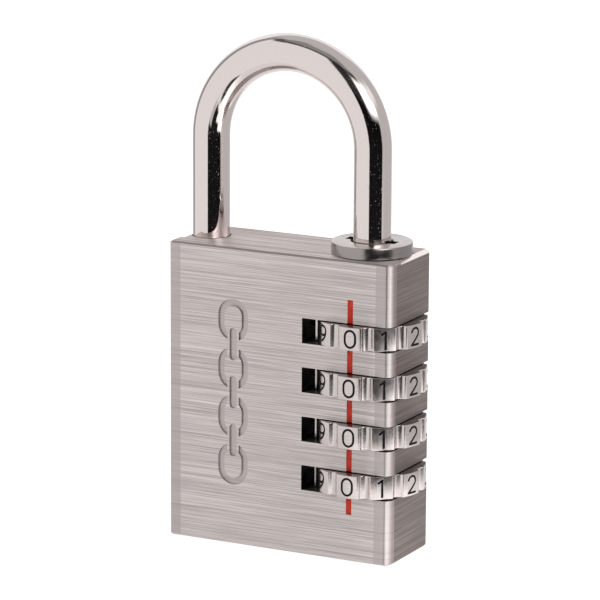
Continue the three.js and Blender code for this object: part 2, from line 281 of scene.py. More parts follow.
def add(tree, kind, inputs=None, **settings):
    """A shader node with its settings made and its inputs set or linked."""
    made = tree.nodes.new(kind)
    for name, value in settings.items():
        setattr(made, name, value)
    for name, value in (inputs or {}).items():
        socket = made.inputs[name]
        if isinstance(value, bpy.types.NodeSocket):
            tree.links.new(value, socket)
        else:
            socket.default_value = value
    return made


def maths(tree, operation, *values):
    inputs = dict(enumerate(values))
    return add(tree, "ShaderNodeMath", inputs, operation=operation).outputs[0]


def remap(tree, value, low, high, to_low=0.0, to_high=1.0, smooth=False):
    inputs = {"Value": value, "From Min": low, "From Max": high, "To Min": to_low, "To Max": to_high}
    style = "SMOOTHSTEP" if smooth else "LINEAR"
    return add(tree, "ShaderNodeMapRange", inputs, interpolation_type=style).outputs["Result"]


def blend_colour(tree, share, first, second):
    made = add(tree, "ShaderNodeMix", data_type="RGBA")
    for index, value in ((0, share), (6, first), (7, second)):
        if isinstance(value, bpy.types.NodeSocket):
            tree.links.new(value, made.inputs[index])
        else:
            made.inputs[index].default_value = value
    return made.outputs[2]


WARM = (1.0, 0.905, 0.88)  # the slight warmth that every bare metal here has
SIDE_SHADE_TINT = (1.05, 0.97, 0.95)  # tint of the painted shade on the body's narrow faces, a little warmer than the metal


def grey(value):
    """The colour of bare metal of a given brightness."""
    return (*(value * channel for channel in WARM), 1.0)


def noise(tree, scale_xyz, detail=3.0, roughness=0.55, offset=0.0):
    """Noise over the object's own millimetres, stretched by a scale along each axis."""
    place = add(tree, "ShaderNodeTexCoord").outputs["Object"]
    scale = [factor / MM for factor in scale_xyz]
    shift = (offset, offset * 0.7, offset * 1.3)
    mapped = add(tree, "ShaderNodeMapping", {"Vector": place, "Location": shift, "Scale": scale})
    inputs = {"Vector": mapped.outputs[0], "Scale": 1.0, "Detail": detail, "Roughness": roughness}
    return add(tree, "ShaderNodeTexNoise", inputs).outputs["Fac"]


def new_material(name):
    """A material with a Principled shader, as (material, node tree, shader)."""
    material = bpy.data.materials.new(name)
    material.use_nodes = True
    tree = material.node_tree
    return material, tree, tree.nodes["Principled BSDF"]


def feed(tree, shader, **sources):
    """Links sources to the shader's inputs. An underscore in a name stands for a space."""
    for name, source in sources.items():
        tree.links.new(source, shader.inputs[name.replace("_", " ")])


def link_bump(tree, shader, height, distance_mm):
    inputs = {"Height": height, "Distance": distance_mm * MM, "Strength": 1.0}
    feed(tree, shader, Normal=add(tree, "ShaderNodeBump", inputs).outputs["Normal"])


def blur_along(tree, shader, level, anisotropy):
    """Level scratches spread a reflection up and down an upright face, and along Y on a level one."""
    shader.inputs["Anisotropic"].default_value = anisotropy
    upright = maths(tree, "SUBTRACT", 1.0, level)
    across = add(tree, "ShaderNodeCombineXYZ", {"Y": level, "Z": upright})
    feed(tree, shader, Tangent=across.outputs[0])


LEVEL_FACING = (0.75, 0.95)  # how squarely a face points up or down as it turns from upright to level
SIDE_FACING = (0.8, 0.98)  # and how squarely it points along X as it turns into a side face, where the painted side shade comes in


def facing(tree, axis):
    """How squarely the surface faces along an axis of the object, either way: 0 to 1."""
    normal = add(tree, "ShaderNodeTexCoord").outputs["Normal"]
    parts = add(tree, "ShaderNodeSeparateXYZ", {"Vector": normal})
    return maths(tree, "ABSOLUTE", parts.outputs[axis])


def streaks(tree, level):
    """Level scratches of two lengths on an upright face, and scratches along X on a level one."""
    long_fine = noise(tree, (0.025, 0.025, 6.5), 3.0, 0.7)
    long_broad = noise(tree, (0.02, 0.02, 0.7), 3.0, 0.6, 11.0)
    short_fine = noise(tree, (0.13, 0.13, 9.0), 3.0, 0.7, 23.0)
    level_fine = noise(tree, (0.04, 2.8, 0.04), 5.0, 0.7, 5.0)
    short_share, broad_share = 0.55, 0.06
    mixed = maths(tree, "ADD", long_fine, maths(tree, "MULTIPLY", short_fine, short_share))
    mixed = maths(tree, "ADD", mixed, maths(tree, "MULTIPLY", long_broad, broad_share))
    upright = maths(tree, "DIVIDE", mixed, 1 + short_share + broad_share)
    return add(tree, "ShaderNodeMix", {0: level, 2: upright, 3: level_fine}).outputs[0], long_fine


def brushed(name, value, roughness, anisotropy=0.95, contrast=1.0, side_shade=1.0):
    """Bar metal with streaks of brushing, whose strength is the contrast.

    The side value darkens the faces at +X and -X as painted shade; on the corner metal it fades the painted
    highlight towards the side.
    """
    material, tree, shader = new_material(name)
    level = remap(tree, facing(tree, "Z"), *LEVEL_FACING)
    streak, long_fine = streaks(tree, level)
    darker, lighter = 0.22 * contrast, 0.2 * contrast
    low, high = grey(value * (1 - darker)), grey(min(1.0, value * (1 + lighter)))
    colour = blend_colour(tree, remap(tree, streak, 0.42, 0.58), low, high)
    scratch = remap(tree, long_fine, 0.36, 0.28, 0.0, 0.6)
    colour = blend_colour(tree, scratch, colour, grey(value * 0.6))
    # Painted shade on the faces that point along X.
    if side_shade < 1.0:
        shade = [side_shade * channel for channel in SIDE_SHADE_TINT]
        dimmed = add(tree, "ShaderNodeVectorMath", {0: colour, 1: shade}, operation="MULTIPLY").outputs[0]
        colour = blend_colour(tree, remap(tree, facing(tree, "X"), *SIDE_FACING), colour, dimmed)
    rough = remap(tree, streak, 0.3, 0.7, roughness + 0.06, roughness - 0.05)
    feed(tree, shader, Base_Color=colour, Roughness=rough)
    shader.inputs["Metallic"].default_value = 1.0
    blur_along(tree, shader, level, anisotropy)
    link_bump(tree, shader, streak, 0.012)
    return material


def chrome(name, value, roughness, speck):
    """Bright plating, with faint ripples, fine polishing marks and a few specks."""
    material, tree, shader = new_material(name)
    ripple = noise(tree, (0.5, 0.5, 0.5), 2.0)
    marks = noise(tree, (6.0, 6.0, 0.5), 3.0, 0.6, 3.0)
    pits = noise(tree, (5.0, 5.0, 5.0), 1.0, 0.5, 9.0)
    dust = remap(tree, pits, 0.65, 0.76)
    colour = blend_colour(tree, marks, grey(value * 0.97), grey(value))
    rough = remap(tree, marks, 0.3, 0.7, roughness * 0.8, roughness * 1.3)
    rough = maths(tree, "ADD", rough, maths(tree, "MULTIPLY", dust, speck))
    feed(tree, shader, Base_Color=colour, Roughness=rough)
    shader.inputs["Metallic"].default_value = 1.0
    height = maths(tree, "ADD", ripple, maths(tree, "MULTIPLY", dust, 0.3))
    link_bump(tree, shader, height, 0.004)
    return material


def satin(name, upright_value, level_value, roughness, anisotropy):
    """Satin plating on turned metal: level tool marks round it, and a fine sparkling grain."""
    material, tree, shader = new_material(name)
    marks = noise(tree, (0.5, 0.5, 12.0), 3.0, 0.6, 3.0)
    grain = noise(tree, (11.0, 11.0, 11.0), 2.0, 0.6, 9.0)
    cloud = noise(tree, (0.9, 0.9, 0.9), 2.0, 0.5, 17.0)
    level = remap(tree, facing(tree, "Z"), *LEVEL_FACING)
    tone = remap(tree, maths(tree, "MULTIPLY", maths(tree, "ADD", marks, grain), 0.5), 0.35, 0.65)
    # Upright and level faces take separate values: painted shade on the dials' level faces and on the
    # collar's upright side.
    upright_tone, level_tone = (
        blend_colour(tree, tone, grey(value * 0.84), grey(min(1.0, value * 1.08)))
        for value in (upright_value, level_value)
    )
    colour = blend_colour(tree, level, upright_tone, level_tone)
    rough = remap(tree, cloud, 0.3, 0.7, roughness * 0.85, roughness * 1.15)
    feed(tree, shader, Base_Color=colour, Roughness=rough)
    shader.inputs["Metallic"].default_value = 1.0
    blur_along(tree, shader, level, anisotropy)
    link_bump(tree, shader, grain, 0.006)
    return material


def machined(name, colour, roughness):
    """Turned metal with fine tool rings and slight staining, for the inner parts."""
    material, tree, shader = new_material(name)
    rings = noise(tree, (0.3, 0.3, 9.0), 3.0)
    stain = noise(tree, (0.35, 0.35, 0.35), 4.0, 0.6, 7.0)
    dark = tuple(channel * 0.72 for channel in colour)
    shade = maths(tree, "MULTIPLY", maths(tree, "ADD", rings, stain), 0.5)
    mixed = blend_colour(tree, remap(tree, shade, 0.35, 0.65), (*dark, 1.0), (*colour, 1.0))
    rough = remap(tree, stain, 0.3, 0.7, roughness - 0.06, roughness + 0.1)
    feed(tree, shader, Base_Color=mixed, Roughness=rough)
    shader.inputs["Metallic"].default_value = 1.0
    link_bump(tree, shader, rings, 0.01)
    return material


def paint(name, colour, roughness):
    """Brushed-in enamel: uneven, slightly pooled and nearly matt."""
    material, tree, shader = new_material(name)
    pool = noise(tree, (1.6, 1.6, 0.8), 3.0, 0.6)
    grain = noise(tree, (9.0, 9.0, 9.0), 2.0, 0.5, 4.0)
    dark = tuple(channel * 0.6 for channel in colour)
    mixed = blend_colour(tree, remap(tree, pool, 0.35, 0.65), (*dark, 1.0), (*colour, 1.0))
    rough = remap(tree, grain, 0.3, 0.7, roughness - 0.08, roughness + 0.08)
    feed(tree, shader, Base_Color=mixed, Roughness=rough)
    shader.inputs["Specular IOR Level"].default_value = 0.3
    link_bump(tree, shader, grain, 0.01)
    return material


# The body's faces at +X and -X are darkened as painted shade.
ALUMINIUM = brushed("brushed_aluminium", 0.80, 0.46, side_shade=0.48)
DRAWN = brushed("drawn_aluminium", 0.64, 0.46, anisotropy=0.9, contrast=0.3)
# Near-black metal inside the slots and bores: painted shade.
SAWN_SHADE = brushed("sawn_aluminium_painted_shade", 0.12, 0.42, anisotropy=0.9, contrast=0.2)
ENGRAVED = brushed("engraved_aluminium", 0.62, 0.42, anisotropy=0.9, contrast=0.2)
# Brighter metal on the front right corner: a painted highlight, faded towards +X by painted shade.
CORNER_HIGHLIGHT = brushed("corner_aluminium_painted_highlight", 0.97, 0.42, anisotropy=0.8, contrast=0.2, side_shade=0.5)
BRIGHT_CUT = brushed("bright_cut_aluminium", 1.0, 0.2, anisotropy=0.2, contrast=0.1)
# Darker metal on the long front rim: painted shade for the dark line under the top.
RIM_SHADE = brushed("rim_aluminium_painted_shade", 0.6, 0.3, anisotropy=0.2, contrast=0.4)
CHROME = chrome("shackle_chrome", 0.88, 0.045, speck=0.28)
# The dials' level faces are darker: painted shade from their slots.
SATIN = satin("satin_chrome", 0.76, 0.4, 0.22, 0.75)
# The collar's upright side is darker: a painted reflection of the dark room and the body's top.
COLLAR_CHROME = satin("collar_chrome", 0.4, 0.64, 0.22, 0.4)
BRASS = machined("machined_brass", (0.77, 0.57, 0.25), 0.3)
STEEL = machined("zinc_steel", (0.58, 0.58, 0.59), 0.35)
SPRING_STEEL = machined("drawn_spring_steel", (0.42, 0.42, 0.44), 0.28)
INDEX_RED = paint("index_enamel", (0.64, 0.03, 0.008), 0.5)
DIGIT_BLACK = paint("digit_black", (0.006, 0.005, 0.005), 0.5)


# ---------- Body ----------


def body_outline(inset):
    """Rectangle with elliptical corners, as (x, y), shrunk by an inset. Two points mark the strips."""
    half_y = BODY_HIGH.y - inset
    steps = 24
    points = [(STRIP_X[1], -half_y)]
    for start, sx, sy, reach in (
        (-90, 1, -1, DIAL_SIDE_ROUND),
        (0, 1, 1, BACK_ROUND),
        (90, -1, 1, BACK_ROUND),
        (180, -1, -1, TOE_SIDE_ROUND),
    ):
        rx, ry = (part - inset for part in reach)
        corner_x = SIDE_X[sx] - sx * (inset + rx)
        for i in range(steps + 1):
            turn = math.radians(start + 90 * i / steps)
            points.append((corner_x + rx * math.cos(turn), sy * (half_y - ry) + ry * math.sin(turn)))
    return points + [(STRIP_X[-1], -half_y)]


def body_bar():
    rings = []
    for inset, z in (
        (BODY_CHAMFER, BODY_LOW.z),
        (0.0, BODY_LOW.z + BODY_CHAMFER),
        (0.0, BODY_TOP - BODY_CHAMFER),
        (BODY_CHAMFER, BODY_TOP),
    ):
        rings.append([Vector((x, y, z)) for x, y in body_outline(inset)])
    return loft(rings)


def end_chamfer(side):
    """Wedge that breaks the short top edge at +X or -X, from behind the round corner to the back."""
    run, drop = END_CHAMFER
    inner = (SIDE_X[side] - side * 3 * run, BODY_TOP + 2 * drop)
    outer = (SIDE_X[side] + side * 2 * run, BODY_TOP - 3 * drop)
    corners = (inner, outer, (outer[0], inner[1]))
    ends = (FRONT_Y + END_CHAMFER_START, BODY_HIGH.y + 1)
    return loft([[Vector((x, y, z)) for x, z in corners] for y in ends])


def dial_slot(z):
    """The saw comes in from +X, so the slot's inner wall is an arc that bows towards the toe."""
    centre = SLOT_REACH_X + SLOT_SAW_RADIUS
    reach_y = BODY_HIGH.y + 1
    half = math.degrees(math.asin(reach_y / SLOT_SAW_RADIUS))
    steps = 24
    outline = []
    for i in range(steps + 1):
        point = polar(SLOT_SAW_RADIUS, 180 - half + 2 * half * i / steps)
        outline.append((centre + point.x, point.y))
    outline += [(BODY_HIGH.x + 1, -reach_y), (BODY_HIGH.x + 1, reach_y)]
    return prism(outline, z - SLOT_HALF, z + SLOT_HALF)


def index_groove():
    left, right = INDEX_X - INDEX_WIDTH / 2, INDEX_X + INDEX_WIDTH / 2
    return block(left, right, FRONT_Y - 1, FRONT_Y + INDEX_DEPTH, INDEX_LOW_Z, INDEX_HIGH_Z)


# A generic chain ornament, engraved down the left of the front face.
CHAIN_X = -7.87
CHAIN_TOP_Z = 40.3
CHAIN_BOTTOM_Z = 9.2
CHAIN_LINKS = 4
LINK_RADIUS = 2.55
LINK_STROKE = 1.1
LINK_GAP = 1.1  # between two face-on links
ENGRAVE_DEPTH = 0.32
ENGRAVE_DRAFT = 0.08


def stadium(half_length, radius):
    """Outline of an upright oval with straight sides, as (x, z)."""
    points = []
    steps = 14
    straight = half_length - radius
    for start, z in ((0, straight), (180, -straight)):
        for i in range(steps + 1):
            offset = polar(radius, start + 180 * i / steps)
            points.append((offset.x, z + offset.y))
    return points


def front_cutter(outline, x, z, grow=0.0):
    """A cutter with slightly sloping sides, sunk into the front face."""
    rings = []
    for y, slope in ((FRONT_Y - 0.5, ENGRAVE_DRAFT), (FRONT_Y + ENGRAVE_DEPTH + grow, 0.0)):
        rings.append([Vector((x + px * (1 + slope), y, z + pz * (1 + slope / 3))) for px, pz in outline])
    return loft(rings)


def link_ring(z, half_length):
    outer = front_cutter(stadium(half_length, LINK_RADIUS), CHAIN_X, z)
    core = front_cutter(stadium(half_length - LINK_STROKE, LINK_RADIUS - LINK_STROKE), CHAIN_X, z, 0.5)
    return combine(outer, core)


def chain_cutters():
    """Face-on links joined by edge-on ones, with a thin land left where they cross."""
    pitch = (CHAIN_TOP_Z - CHAIN_BOTTOM_Z) / CHAIN_LINKS
    half_length = (pitch - LINK_GAP) / 2
    middles = [CHAIN_TOP_Z - pitch * (i + 0.5) for i in range(CHAIN_LINKS)]
    joints = [CHAIN_TOP_Z - pitch * i for i in range(1, CHAIN_LINKS)]
    edge_half, edge_radius, land = 2.6, 0.62, 0.34
    cutters = []
    for z in middles:
        ring = link_ring(z, half_length)
        for joint in joints:
            clear = stadium(edge_half + land, edge_radius + land)
            ring = combine(ring, front_cutter(clear, CHAIN_X, joint, 0.5))
        cutters.append(ring)
    cutters += [front_cutter(stadium(edge_half, edge_radius), CHAIN_X, joint) for joint in joints]
    return cutters


SKIN = 0.03  # a face whose middle is no deeper than this belongs to the outside of the body
END_CHAMFER_SLOPE = (0.8, 0.95)  # range of the normal's Z on the short top chamfers
RIM_SLOPE = (0.5, 0.8)  # and on the rims
FRONTWARD = -0.6  # a normal's Y below this faces the front
UPRIGHT = 0.1  # and a normal's Z within this is on an upright face
HIGHLIGHT_FROM = 0.5  # the front right corner takes the brighter metal of the painted highlight once its normal's X passes this
BRUSHED, CUT, CHAIN, STRIP, HIGHLIGHTED, RIM, BRIGHT = range(7)


def from_side(point):
    """How far a point lies in from the body's nearer side."""
    return abs(SIDE_X[1 if point.x > 0 else -1] - point.x)


def corner_depth(reaches, inwards, back):
    """How deep a point near a front corner lies under its rounding, as a share of the rounding."""
    out = [max(reach - part, 0.0) / reach for reach, part in zip(reaches, (inwards, back))]
    return 1 - math.hypot(*out)


def on_back_round(point):
    """Whether a point lies in one of the small round corners at the back."""
    return from_side(point) < BACK_ROUND[0] and BODY_HIGH.y - point.y < BACK_ROUND[1]


def end_finish(normal):
    """Finish at the top and bottom: the short chamfers are bright and the long front rim is darkened as
    painted shade.
    """
    if END_CHAMFER_SLOPE[0] < normal.z < END_CHAMFER_SLOPE[1]:
        return BRIGHT
    if RIM_SLOPE[0] < normal.z < RIM_SLOPE[1] and normal.y < FRONTWARD:
        return RIM
    return BRUSHED


def body_finish(face):
    """Which of the body's finishes a face has, from where its middle lies."""
    middle = face.center
    inwards, back = from_side(middle), middle.y - FRONT_Y
    if min(middle.z - BODY_LOW.z, BODY_TOP - middle.z) < END_CHAMFER[1]:
        return end_finish(face.normal)
    right = middle.x > 0
    reaches = DIAL_SIDE_ROUND if right else TOE_SIDE_ROUND
    in_strip = not STRIP_X[-1] < middle.x < STRIP_X[1] and back < reaches[1]
    if in_strip and abs(face.normal.z) < UPRIGHT and corner_depth(reaches, inwards, back) < SKIN:
        # The corner's side-facing part gets the painted highlight metal.
        return HIGHLIGHTED if face.normal.x > HIGHLIGHT_FROM else STRIP
    if min(inwards, back, BODY_HIGH.y - middle.y) < SKIN or on_back_round(middle):
        return BRUSHED
    # Faces inside the slots and bores take the near-black painted shade.
    return CHAIN if back < ENGRAVE_DEPTH + SKIN and not right else CUT


def make_body():
    cutters = [
        end_chamfer(1),
        end_chamfer(-1),
        cylinder(HEEL_X, BORE_RADIUS, BORE_FLOOR_Z, BODY_TOP + 1, 96),
        cylinder(TOE_X, ROD + TOE_GAP, TOE_BORE_Z, BODY_TOP + 1, 96),
        cylinder(DETENT_X, DETENT_RADIUS, BODY_LOW.z - 1, DETENT_TOP_Z, 48),
        index_groove(),
        *[dial_slot(z) for z in DIAL_Z],
        *chain_cutters(),
    ]
    mesh = cut_all(body_bar(), cutters)
    finishes = [ALUMINIUM, SAWN_SHADE, ENGRAVED, DRAWN, CORNER_HIGHLIGHT, RIM_SHADE, BRIGHT_CUT]
    nodes = ["body_block"]
    return piece("padlock_body", mesh, "lock_body", nodes, finishes, 25, body_finish)


def make_index_lines():
    """Red enamel that fills the groove to its walls, slightly hollow across its width."""
    half, sink, hollow = INDEX_WIDTH / 2, 0.02, 0.16
    steps = 8
    for i in range(1, 6):
        low, high = box_mm(f"index_line_{i}")
        outline = [(INDEX_X + half, high.y), (INDEX_X - half, high.y)]
        for k in range(steps + 1):
            across = 2 * k / steps - 1
            outline.append((INDEX_X + half * across, FRONT_Y + sink + hollow * (1 - across**2)))
        mesh, nodes = prism(outline, low.z, high.z), [f"index_line_{i}"]
        piece(f"index_paint_{i}", mesh, "lock_body", nodes, [INDEX_RED], 40)


# ---------- Shackle ----------


def rod_line():
    """Middle line of the shackle's bar from the toe tip to the heel tip."""
    chamfered_toe = Vector((TOE_X, 0, TOE_TIP_Z + TIP_CHAMFER))
    points = [Vector((TOE_X, 0, TOE_TIP_Z)), chamfered_toe]
    legs, bow = 6, 120
    rise = BOW_Z - chamfered_toe.z
    points += [Vector((TOE_X, 0, chamfered_toe.z + rise * i / legs)) for i in range(1, legs)]
    for i in range(bow + 1):
        turn = polar(BOW_RADIUS, 180 - 180 * i / bow)
        points.append(Vector((BOW_X + turn.x, 0, BOW_Z + turn.y)))
    low = HEEL_TIP_Z + TIP_CHAMFER
    points += [Vector((HEEL_X, 0, BOW_Z + (low - BOW_Z) * i / legs)) for i in range(1, legs)]
    points += [Vector((HEEL_X, 0, low)), Vector((HEEL_X, 0, HEEL_TIP_Z))]
    return points


def lug(z):
    """One of the four lugs on the long leg, below its dial's gate ring."""
    half = math.degrees(math.asin(LUG_WIDTH / 2 / LUG_RADIUS))
    outline = [(LUG_WIDTH / 2, ROD / 2)]
    for i in range(9):
        point = polar(LUG_RADIUS, 90 - half + 2 * half * i / 8)
        outline.append((point.x, point.y))
    outline.append((-LUG_WIDTH / 2, ROD / 2))
    top = z - DIAL_HALF - HUB_TRAVEL - GAP
    bottom = z + DIAL_HALF + 2 * GAP - DIAL_PITCH
    return prism([(HEEL_X + x, y) for x, y in outline], bottom, top)


def make_shackle():
    points = rod_line()
    radii = [ROD] * len(points)
    radii[0] = radii[-1] = ROD - TIP_CHAMFER
    mesh = sweep(points, radii, 72)
    for z in DIAL_Z:
        mesh = combine(mesh, lug(z), "UNION")
    return piece("shackle_bar", mesh, "shackle", ["shackle"], [CHROME], 30)


# ---------- Collar and sleeve ----------


def make_collar():
    shank = BORE_RADIUS - GAP
    flange = COLLAR_HIGH.x - HEEL_X
    top = COLLAR_HIGH.z
    seat = BODY_TOP + 0.1
    edge = 0.3
    profile = [
        (HUB_BORE, COLLAR_LOW.z),
        (shank - 0.2, COLLAR_LOW.z),
        (shank, COLLAR_LOW.z + 0.2),
        (shank, seat),
        (flange - 0.1, seat),
        (flange, seat + 0.1),
        (flange, top - edge),
        (flange - edge * 0.3, top - edge * 0.3),
        (flange - edge, top),
        (HUB_BORE + 0.15, top),
        (HUB_BORE, top - 0.15),
    ]
    half, reach = 0.95, 4.25
    keyways = [
        block(HEEL_X + side * HUB_BORE / 2, HEEL_X + side * reach, -half, half, COLLAR_LOW.z - 1, top + 1)
        for side in (-1, 1)
    ]
    mesh = cut_all(lathe(profile, HEEL_X, 128), keyways)
    return piece("collar", mesh, "lock_body", ["retaining_collar"], [COLLAR_CHROME], 25)


def make_sleeve():
    low, high = box_mm("hub_stop_sleeve")
    outer = high.x - HEEL_X
    edge = 0.12
    profile = [
        (GATE_RADIUS + edge, low.z),
        (outer - edge, low.z),
        (outer, low.z + edge),
        (outer, high.z - edge),
        (outer - edge, high.z),
        (GATE_RADIUS + edge, high.z),
        (GATE_RADIUS, high.z - edge),
        (GATE_RADIUS, low.z + edge),
    ]
    mesh, nodes = lathe(profile, HEEL_X), ["hub_stop_sleeve"]
    return piece("stop_sleeve", mesh, "lock_body", nodes, [STEEL], 25)


# ---------- Digits ----------


def arc(cx, cz, rx, rz, start, end, steps=16):
    """Points (x, z) of an elliptical arc, in degrees, 0 to the right and 90 up."""
    points = []
    for i in range(steps + 1):
        angle = math.radians(start + (end - start) * i / steps)
        points.append((cx + rx * math.cos(angle), cz + rz * math.sin(angle)))
    return points


def straight(x0, z0, x1, z1):
    steps = 4
    return [(x0 + (x1 - x0) * i / steps, z0 + (z1 - z0) * i / steps) for i in range(steps + 1)]


def digit_strokes(digit):
    """Strokes of one digit as lists of (x, z); a closed stroke repeats its first point."""
    h, w = DIGIT_HALF_HEIGHT, DIGIT_HALF_WIDTH
    thin = w * 0.92
    loop_z = h - thin * 0.95  # middle of a small loop that touches the top
    if digit == 0:
        flat = h - w * 1.15
        return [arc(0, flat, w, h - flat, 0, 180) + arc(0, -flat, w, h - flat, 180, 360) + [(w, flat)]]
    if digit == 1:
        return [straight(0.08, h, 0.08, -h), straight(0.08, h, -0.5, h - 0.5)]
    if digit == 2:
        top = arc(0, h - thin, thin, thin, 165, -35)
        return [top + straight(*top[-1], -thin, -h)[1:], straight(-thin, -h, thin, -h)]
    if digit == 3:
        upper = arc(0, h / 2, thin * 0.9, h / 2, 150, -90)
        lower = arc(0, -h / 2, thin, h / 2, 90, -150)
        return [upper, lower]
    if digit == 4:
        foot = -h * 0.35
        return [straight(0.35, h, 0.35, -h), straight(0.35, h, -w, foot), straight(-w, foot, w, foot)]
    if digit == 5:
        bowl = arc(-0.05, -h + thin * 0.98, thin, thin * 0.98, 130, -150)
        return [straight(-0.6, h, 0.65, h), straight(-0.6, h, bowl[0][0], bowl[0][1]), bowl]
    if digit == 6:
        loop = arc(0, -loop_z, thin, thin * 0.95, 0, 360, 24)
        return [loop, arc(w * 1.4, -loop_z, w * 1.4 + thin, h + loop_z, 180, 118)]
    if digit == 7:
        return [straight(-thin, h, thin, h), straight(thin, h, -0.25, -h)]
    if digit == 8:
        upper = arc(0, h / 2 + 0.06, thin * 0.82, h / 2 - 0.06, -90, 270, 24)
        lower = arc(0, -h / 2 + 0.06, thin, h / 2 + 0.06, -90, 270, 24)
        return [upper, lower]
    return [[(-x, -z) for x, z in stroke] for stroke in digit_strokes(6)]


def on_dial(x, z, digit):
    """A point of a digit laid on the dial's digit pad, seen from outside."""
    turn = -90 + digit * DIGIT_STEP + math.degrees(x / DIAL_RADIUS)
    return polar(DIAL_RADIUS, turn, z)


def digit_cutters():
    """One round-nosed groove cutter for each stroke of each digit."""
    cutters = []
    for digit in range(DIGITS):
        for stroke in digit_strokes(digit):
            points = [on_dial(x, z, digit) for x, z in stroke]
            if (points[0] - points[-1]).length < 0.01:
                radii = [STROKE_RADIUS] * (len(points) - 1)
                cutters.append(sweep(points[:-1], radii, 10, True, polar(1, -90 + digit * DIGIT_STEP)))
            else:
                cutters.append(round_ended(points, STROKE_RADIUS, 10))
    return cutters


# ---------- Dials ----------


def dial_outline():
    """One turn of digit pads and round-bottomed flutes as (radius, degrees), digit 0 first."""
    centre = DIAL_RADIUS - FLUTE_DEPTH + FLUTE_RADIUS
    cos_mouth = (DIAL_RADIUS**2 + centre**2 - FLUTE_RADIUS**2) / (2 * DIAL_RADIUS * centre)
    mouth = math.degrees(math.acos(cos_mouth))
    sweep_half = math.degrees(math.asin(DIAL_RADIUS * math.sin(math.radians(mouth)) / FLUTE_RADIUS))
    shoulder_deg = math.degrees(SHOULDER / DIAL_RADIUS)
    shoulder_turn = math.degrees(SHOULDER / FLUTE_RADIUS)
    pad = DIGIT_STEP / 2 - mouth - shoulder_deg
    pad_steps, flute_steps, corner_steps = 14, 12, 3
    outline = []
    for digit in range(DIGITS):
        middle = -90 + digit * DIGIT_STEP
        groove = middle + DIGIT_STEP / 2
        for i in range(pad_steps + 1):
            outline.append(polar(DIAL_RADIUS, middle + pad * (2 * i / pad_steps - 1)))
        flute = []
        for i in range(flute_steps + 1):
            turn = (sweep_half - shoulder_turn) * (1 - 2 * i / flute_steps)
            flute.append(polar(centre, groove) + polar(FLUTE_RADIUS, groove + 180 + turn))
        for start, corner_at, end, into in (
            (outline[-1], groove - mouth, flute[0], True),
            (flute[-1], groove + mouth, polar(DIAL_RADIUS, middle + DIGIT_STEP - pad), False),
        ):
            corner = polar(DIAL_RADIUS, corner_at)
            bend = []
            for i in range(1, corner_steps):
                t = i / corner_steps
                bend.append(start * (1 - t) ** 2 + corner * 2 * t * (1 - t) + end * t**2)
            outline += bend + flute if into else bend
    return outline


def dial_blank():
    """The fluted disc, with rounded rims."""
    outline = dial_outline()
    rings = []
    for inset, z in ((1.0, 1.0), (0.4, 0.85), (0.1, 0.5), (0.0, 0.0)):
        rings.append((inset * DIAL_EDGE, DIAL_HALF - DIAL_EDGE * (1 - z)))
    levels = [(inset, -z) for inset, z in rings] + [(inset, z) for inset, z in reversed(rings)]
    return loft([[p * (1 - inset / p.length) + Vector((0, 0, z)) for p in outline] for inset, z in levels])


def star_bars(radius, width, z0, z1):
    """Ten bars from the dial's axis out to a radius, one between each two digits."""
    bars = []
    for i in range(DIGITS):
        bar = block(0.5, radius, -width / 2, width / 2, z0, z1)
        bar.transform(Matrix.Rotation(math.radians(-90 + (i + 0.5) * DIGIT_STEP), 4, "Z"))
        bars.append(bar)
    return bars


DIGIT_HALF_DEG = 8.5  # every digit lies within this angle of its pad's middle


def dial_finish(face):
    """0 satin chrome, 1 black in the engraved digits."""
    middle = face.center
    radius = math.hypot(middle.x, middle.y)
    turn = (math.degrees(math.atan2(middle.y, middle.x)) + 90 + DIGIT_STEP / 2) % DIGIT_STEP
    on_pad = abs(turn - DIGIT_STEP / 2) < DIGIT_HALF_DEG and abs(middle.z) < DIAL_HALF - DIAL_EDGE * 2
    sunk = DIAL_RADIUS - 2 * STROKE_RADIUS < radius < DIAL_RADIUS - 0.01
    return 1 if on_pad and sunk else 0


def dial_mesh():
    """A dial about its own axis, standing at its middle height."""
    band = DIAL_HALF - TOOTH_BAND
    cutters = [
        cylinder(0, BORE_RADIUS, -DIAL_HALF - 1, band, 96),
        cylinder(0, HUB_RADIUS + GAP, band - 1, DIAL_HALF + 1, 96),
        *star_bars(TOOTH_RADIUS + GAP, TOOTH_WIDTH + 2 * GAP, band - 1, DIAL_HALF + 1),
        *digit_cutters(),
    ]
    return cut_all(dial_blank(), cutters)


def make_dials():
    pattern = dial_mesh()
    indices = [dial_finish(face) for face in pattern.polygons]

    def pick(face):
        return indices[face.index]

    for i, (z, rest) in enumerate(zip(DIAL_Z, DIAL_REST_DEG), start=1):
        mesh = pattern.copy()
        mesh.transform(Matrix.Rotation(math.radians(rest), 4, "Z"))
        mesh.transform(Matrix.Translation((HEEL_X, 0, z)))
        body, finishes = f"dial_{i}", [SATIN, DIGIT_BLACK]
        piece(f"number_dial_{i}", mesh, body, [f"dial_{i}"], finishes, 28, pick)
    bpy.data.meshes.remove(pattern)


# ---------- Hubs, spring and detent ----------


